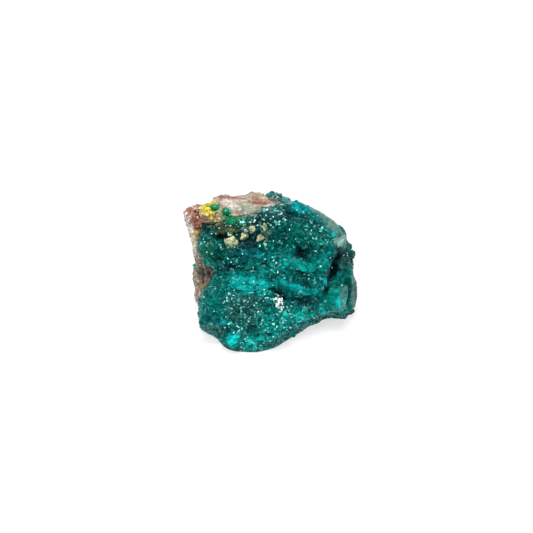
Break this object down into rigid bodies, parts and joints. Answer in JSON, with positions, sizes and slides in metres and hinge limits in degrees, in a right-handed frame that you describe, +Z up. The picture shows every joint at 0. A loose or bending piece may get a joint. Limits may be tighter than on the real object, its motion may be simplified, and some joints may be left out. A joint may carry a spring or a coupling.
{
  "type": "raw dioptase specimen",
  "caption": "Raw mineral chip: a thick druse-lined crust of green dioptase crystals on pinkish-tan host rock, resting on a flat break.",
  "frame": {"origin": "centre of the bounding box's underside, on the flat break that the stone rests on", "axes": "+Z up, out of the surface that it rests on; +X to the right as one looks at the crystal face; the crystal face leans back and faces -Y and +Z"},
  "size_m": [0.028, 0.0238, 0.0195],
  "materials": {
    "dioptase": "vitreous crystal, small flat faces with glints, partly see-through",
    "host_rock": "matt, grainy broken rock with reddish streaks",
    "cream_mineral": "dull to waxy grain",
    "green_mineral": "glossy crystal"
  },
  "bodies": {
    "root": {"host_rock": "host_rock", "dioptase_crust": "dioptase", "cream_grain_1": "cream_mineral", "cream_grain_2": "cream_mineral", "cream_grain_3": "cream_mineral", "cream_grain_4": "cream_mineral", "cream_grain_5": "cream_mineral", "cream_grain_6": "cream_mineral", "green_bead_left": "green_mineral", "green_bead_right": "green_mineral", "green_bead_edge": "green_mineral"}
  },
  "joints": []
}
